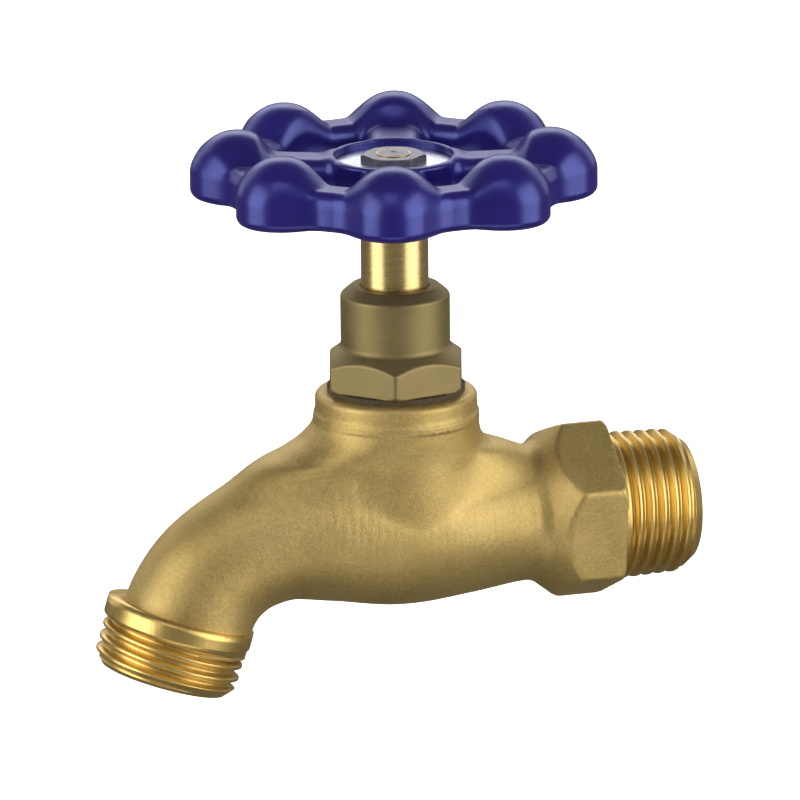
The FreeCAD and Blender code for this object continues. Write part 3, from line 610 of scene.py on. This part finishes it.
def on_outlet(along, radius, turn):
    """A place on the outlet, in millimetres."""
    side = np.array([-OUTLET_WAY[2], 0.0, OUTLET_WAY[0]])
    across = np.outer(radius * np.cos(turn), side)
    across[:, 1] = radius * np.sin(turn)
    return OUTLET + np.outer(along, OUTLET_WAY) + across


def on_stem(along, radius, turn):
    """A place round the stem's axis, in millimetres."""
    return np.stack([STEM_X + radius * np.cos(turn), radius * np.sin(turn), along], axis=1)


# Finishes. Scales of noise are in waves per metre, and heights of bumps in metres.

def new_material(name):
    """An empty material, its node tree and its shader."""
    made = bpy.data.materials.new(name)
    made.use_nodes = True
    tree = made.node_tree
    return made, tree, tree.nodes["Principled BSDF"]


def plug(tree, item, inputs):
    """Links a node's sockets to other nodes, or sets them to values."""
    for key, value in inputs.items():
        if isinstance(value, bpy.types.NodeSocket):
            tree.links.new(value, item.inputs[key])
        else:
            item.inputs[key].default_value = value


def node(tree, kind, inputs=None, **settings):
    """One node with its settings and the values of its sockets."""
    made = tree.nodes.new(kind)
    for key, value in settings.items():
        setattr(made, key, value)
    plug(tree, made, inputs or {})
    return made


def ramp(tree, factor, stops):
    """A colour ramp over a factor."""
    made = node(tree, "ShaderNodeValToRGB", {"Fac": factor})
    elements = made.color_ramp.elements
    while len(elements) < len(stops):
        elements.new(0.5)
    for element, (place, colour) in zip(elements, stops):
        element.position = place
        element.color = (*colour, 1)
    return made.outputs["Color"]


def spread(tree, factor, low, high):
    """A factor turned into numbers from low to high."""
    made = node(tree, "ShaderNodeMapRange", {"Value": factor, "To Min": low, "To Max": high})
    return made.outputs["Result"]


def mean(tree, first, second):
    """The mean of two factors."""
    total = node(tree, "ShaderNodeMath", {0: first, 1: second}, operation="ADD")
    half = node(tree, "ShaderNodeMath", {0: total.outputs[0], 1: 0.5}, operation="MULTIPLY")
    return half.outputs[0]


def noise(tree, coords, scale, detail, rough=0.55):
    """A factor of noise."""
    made = node(tree, "ShaderNodeTexNoise", {
        "Vector": coords, "Scale": scale, "Detail": detail, "Roughness": rough})
    return made.outputs["Fac"]


def bump(tree, factor, height, strength, under=None):
    """Normals of a bump, with another bump under it or none."""
    inputs = {"Height": factor, "Distance": height, "Strength": strength}
    if under is not None:
        inputs["Normal"] = under
    return node(tree, "ShaderNodeBump", inputs).outputs["Normal"]


def object_coords(tree):
    """Coordinates that ride with the piece."""
    return node(tree, "ShaderNodeTexCoord").outputs["Object"]


def cast_brass():
    """Shot-blasted cast brass: matte, speckled, with soft patches."""
    made, tree, shader = new_material("cast_brass")
    coords = object_coords(tree)
    patches = noise(tree, coords, scale=90.0, detail=3.0)
    speckle = noise(tree, coords, scale=2600.0, detail=3.0, rough=0.6)
    grain = noise(tree, coords, scale=3800.0, detail=2.0, rough=0.6)
    waves = noise(tree, coords, scale=420.0, detail=2.0, rough=0.5)
    fine = bump(tree, grain, height=0.00006, strength=0.8)
    plug(tree, shader, {
        "Base Color": ramp(tree, mean(tree, patches, speckle), (
            (0.30, (0.410, 0.288, 0.094)),
            (0.52, (0.560, 0.406, 0.146)),
            (0.72, (0.710, 0.538, 0.226)))),
        "Metallic": 0.85,
        "Roughness": spread(tree, speckle, 0.42, 0.60),
        "Normal": bump(tree, waves, height=0.00012, strength=0.5, under=fine)})
    return made


def turned_brass(name, light, dark, rough, line_scale):
    """Turned brass with fine tool lines round its axis."""
    made, tree, shader = new_material(name)
    coords = object_coords(tree)
    lines = node(tree, "ShaderNodeMapping", {"Vector": coords, "Scale": line_scale})
    streaks = noise(tree, lines.outputs["Vector"], scale=1.0, detail=3.0, rough=0.6)
    patches = noise(tree, coords, scale=160.0, detail=3.0)
    plug(tree, shader, {
        "Base Color": ramp(tree, mean(tree, streaks, patches), ((0.32, dark), (0.66, light))),
        "Metallic": 0.95,
        "Roughness": spread(tree, streaks, rough - 0.06, rough + 0.08),
        "Normal": bump(tree, streaks, height=0.00002, strength=0.5)})
    return made


def blue_lacquer():
    """Deep blue stoving lacquer with a faint orange peel."""
    made, tree, shader = new_material("blue_lacquer")
    coords = object_coords(tree)
    depth = noise(tree, coords, scale=120.0, detail=2.0)
    peel = noise(tree, coords, scale=520.0, detail=2.0, rough=0.5)
    plug(tree, shader, {
        "Base Color": ramp(tree, depth, (
            (0.30, (0.0125, 0.0045, 0.122)),
            (0.70, (0.0175, 0.0075, 0.168)))),
        "Metallic": 0.0,
        "IOR": 1.8,
        "Specular IOR Level": 0.8,
        "Specular Tint": (0.32, 0.38, 1.0, 1),
        "Roughness": spread(tree, peel, 0.27, 0.37),
        "Coat Weight": 0.03,
        "Coat Roughness": 0.12,
        "Normal": bump(tree, peel, height=0.00006, strength=0.25)})
    return made


def bright_metal(name, light, dark, rough):
    """A bright plate or nut with small scratches."""
    made, tree, shader = new_material(name)
    marks = noise(tree, object_coords(tree), scale=900.0, detail=5.0, rough=0.7)
    plug(tree, shader, {
        "Base Color": ramp(tree, marks, ((0.35, dark), (0.65, light))),
        "Metallic": 0.9,
        "Roughness": spread(tree, marks, rough - 0.05, rough + 0.12),
        "Normal": bump(tree, marks, height=0.00003, strength=0.5)})
    return made


def dull(name, light, dark, rough):
    """Rubber or pressed fibre with a fine grain."""
    made, tree, shader = new_material(name)
    grain = noise(tree, object_coords(tree), scale=2200.0, detail=4.0, rough=0.6)
    plug(tree, shader, {
        "Base Color": ramp(tree, grain, ((0.35, dark), (0.65, light))),
        "Roughness": spread(tree, grain, rough - 0.08, rough + 0.08),
        "Normal": bump(tree, grain, height=0.00004, strength=0.6)})
    return made


# Each finish by name, with its light and dark colours, its roughness and the scale of its lines
FINISH = {
    "cast_brass": cast_brass(),
    "turned_brass": turned_brass(
        "turned_brass", (0.72, 0.47, 0.14), (0.52, 0.32, 0.08), 0.30, (300.0, 300.0, 9000.0)),
    "bonnet_brass": turned_brass(
        "bonnet_brass", (0.335, 0.262, 0.118), (0.245, 0.188, 0.080), 0.54,
        (120.0, 120.0, 7000.0)),
    "thread_brass": turned_brass(
        "thread_brass", (0.80, 0.58, 0.20), (0.60, 0.40, 0.11), 0.34, (5000.0, 500.0, 500.0)),
    "polished_brass": turned_brass(
        "polished_brass", (0.80, 0.61, 0.27), (0.68, 0.50, 0.20), 0.27, (200.0, 200.0, 6000.0)),
    "blue_lacquer": blue_lacquer(),
    "plate_metal": bright_metal("plate_metal", (0.84, 0.86, 0.95), (0.58, 0.60, 0.67), 0.28),
    "nut_steel": bright_metal("nut_steel", (0.31, 0.295, 0.33), (0.18, 0.17, 0.20), 0.40),
    "black_rubber": dull("black_rubber", (0.020, 0.020, 0.020), (0.008, 0.008, 0.008), 0.6),
    "gasket_fibre": dull("gasket_fibre", (0.105, 0.074, 0.036), (0.055, 0.038, 0.018), 0.8),
}


# The pieces

SLOTS = {row["node"]: row["material_slot"] for row in frame["record"]["subparts"]}
for name, item in frame["nodes"].items():
    item.data.materials.clear()
    item.data.materials.append(FINISH[SLOTS[name]])

body = carve(
    "tap_body", casting, low=(-74, -13.6, -20.5), high=(0.6, 13.6, 20.6), step=BODY_STEP,
    body="casting", material=FINISH["cast_brass"])
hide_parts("body")

INLET_RINGS = threaded_end(
    land=1.0, land_radius=10.46, crest=10.46, taper=1 / 32, length=12.1,
    nose_radius=8.4, nose_slope=0.75, bore=INLET_BORE, shift=0.0)
wrap("inlet_thread", on_inlet, INLET_RINGS, THREAD_POINTS, "casting",
     FINISH["thread_brass"])

OUTLET_RINGS = threaded_end(
    land=1.6, land_radius=10.60, crest=10.25, taper=0.0, length=8.64,
    nose_radius=8.9, nose_slope=0.9, bore=7.0, shift=0.25)
wrap("outlet_thread", on_outlet, OUTLET_RINGS, THREAD_POINTS, "casting",
     FINISH["thread_brass"])

head = carve(
    "tap_bonnet", bonnet, low=(STEM_X - 11.5, -11.5, 11.6), high=(STEM_X + 11.5, 11.5, 35.6),
    step=BONNET_STEP, body="casting", material=FINISH["bonnet_brass"])
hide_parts("bonnet")

knob = carve(
    "lobed_wheel", wheel, low=(STEM_X - 30, -30, 42.6), high=(STEM_X + 30, 30, 58.2),
    step=WHEEL_STEP, body="stem", material=FINISH["blue_lacquer"])
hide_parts("handwheel")

wrap("stud_cap", on_stem, STUD_END, STUD_POINTS, "stem", FINISH["nut_steel"])


# The studio, in metres

AIM = Vector((-30.5, 0.0, 18.0)) * MM
AZIMUTH = math.radians(-18.15)
ELEVATION = math.radians(14.86)
ROLL = math.radians(-0.60)
DISTANCE = 2.5
SENSOR = 36.0

# The photograph: its width in pixels, its pixels to the millimetre, and how many pixels the aim
# lies left of its middle and below it
PHOTO_WIDTH = 800
SCALE = 7.122
AIM_LEFT = 3.9
AIM_DOWN = 2.1

FLOOR_HEIGHT = -0.11
FLOOR_FRONT = -5.0
FLOOR_BACK = 3.4
FLOOR_HALF = 5.0
FLOOR_ROWS = 24
WALL_ROUND = 1.2
WALL_ROWS = 20
WALL_TOP = 5.0


def facing(turn, rise):
    """The way to a place at angles round the object and above the level."""
    return Vector((
        math.sin(turn) * math.cos(rise), -math.cos(turn) * math.cos(rise), math.sin(rise)))


def make_camera():
    """The photograph's view."""
    data = bpy.data.cameras.new("camera")
    data.sensor_width = SENSOR
    data.lens = SENSOR * SCALE * DISTANCE / MM / PHOTO_WIDTH
    data.clip_start = 0.05
    data.clip_end = 20
    item = bpy.data.objects.new("camera", data)
    bpy.context.scene.collection.objects.link(item)
    back = facing(AZIMUTH, ELEVATION)
    turn = (-back).to_track_quat("-Z", "Y").to_matrix()
    turn = turn @ Matrix.Rotation(ROLL, 3, "Z")
    right, up = turn.col[0], turn.col[1]
    place = AIM + back * DISTANCE
    place = place + right * (AIM_LEFT / SCALE * MM) + up * (AIM_DOWN / SCALE * MM)
    item.matrix_world = Matrix.Translation(place) @ turn.to_4x4()
    bpy.context.scene.camera = item


def floor_profile():
    """The floor from front to back, and the wall that it bends up into: distance, height."""
    made = []
    for t in np.linspace(FLOOR_FRONT, FLOOR_BACK, FLOOR_ROWS):
        made.append((t, 0.0))
    for t in np.linspace(0, math.pi / 2, WALL_ROWS)[1:]:
        made.append((FLOOR_BACK + math.sin(t) * WALL_ROUND, WALL_ROUND - math.cos(t) * WALL_ROUND))
    made.append((FLOOR_BACK + WALL_ROUND, WALL_TOP))
    return made


def make_stage():
    """A plain pale floor that rises behind the object."""
    way = facing(AZIMUTH, 0.0) * -1
    beside = Vector((-way.y, way.x, 0))
    points, faces = [], []
    for index, (back, height) in enumerate(floor_profile()):
        for side in (-FLOOR_HALF, FLOOR_HALF):
            place = way * back + beside * side
            points.append((place.x, place.y, height + FLOOR_HEIGHT))
        if index:
            a = 2 * index
            faces.append((a - 2, a - 1, a + 1, a))
    mesh = bpy.data.meshes.new("floor")
    mesh.from_pydata(points, [], faces)
    mesh.polygons.foreach_set("use_smooth", [True] * len(faces))
    item = bpy.data.objects.new("floor", mesh)
    bpy.context.scene.collection.objects.link(item)
    made, tree, shader = new_material("floor_paper")
    plug(tree, shader, {
        "Base Color": (0.93, 0.93, 0.93, 1),
        "Roughness": 0.9,
        "Emission Color": (1, 1, 1, 1),
        "Emission Strength": 0.95})
    mesh.materials.append(made)
    item.visible_glossy = False
    item.visible_diffuse = False
    item.visible_shadow = False


def make_world():
    """A dim, even surround for the light, and white behind everything for the camera."""
    world = bpy.data.worlds.new("surround")
    bpy.context.scene.world = world
    world.use_nodes = True
    tree = world.node_tree
    dim = tree.nodes["Background"]
    plug(tree, dim, {"Color": (1.0, 0.98, 0.95, 1), "Strength": 0.14})
    white = node(tree, "ShaderNodeBackground", {"Color": (1, 1, 1, 1), "Strength": 1.0})
    path = node(tree, "ShaderNodeLightPath")
    mix = node(tree, "ShaderNodeMixShader", {
        0: path.outputs["Is Camera Ray"], 1: dim.outputs[0], 2: white.outputs[0]})
    plug(tree, tree.nodes["World Output"], {"Surface": mix.outputs[0]})


def softbox(name, turn, rise, distance, width, height, power):
    """A softbox, at degrees round from the camera's side and above the level."""
    data = bpy.data.lights.new(name, "AREA")
    data.shape = "RECTANGLE"
    data.size, data.size_y, data.energy = width, height, power
    item = bpy.data.objects.new(name, data)
    bpy.context.scene.collection.objects.link(item)
    way = facing(AZIMUTH + math.radians(turn), math.radians(rise))
    item.location = AIM + way * distance
    item.rotation_euler = (-way).to_track_quat("-Z", "Y").to_euler()


make_camera()
make_stage()
make_world()
bpy.context.scene.view_settings.view_transform = "Standard"
softbox("left_box", -62, 12, 0.7, 0.60, 0.80, 3.9)
softbox("right_box", 63, 12, 0.7, 0.70, 0.80, 4.5)
softbox("front_top_box", -8, 54, 0.8, 0.45, 0.25, 0.5)
softbox("low_box", 0, -42, 0.8, 0.90, 0.30, 1.1)
softbox("back_box", 180, 30, 0.9, 0.90, 0.45, 2.6)
softbox("left_back_box", -135, 20, 0.9, 0.40, 0.60, 0.7)
softbox("right_back_box", 135, 20, 0.9, 0.40, 0.60, 0.7)
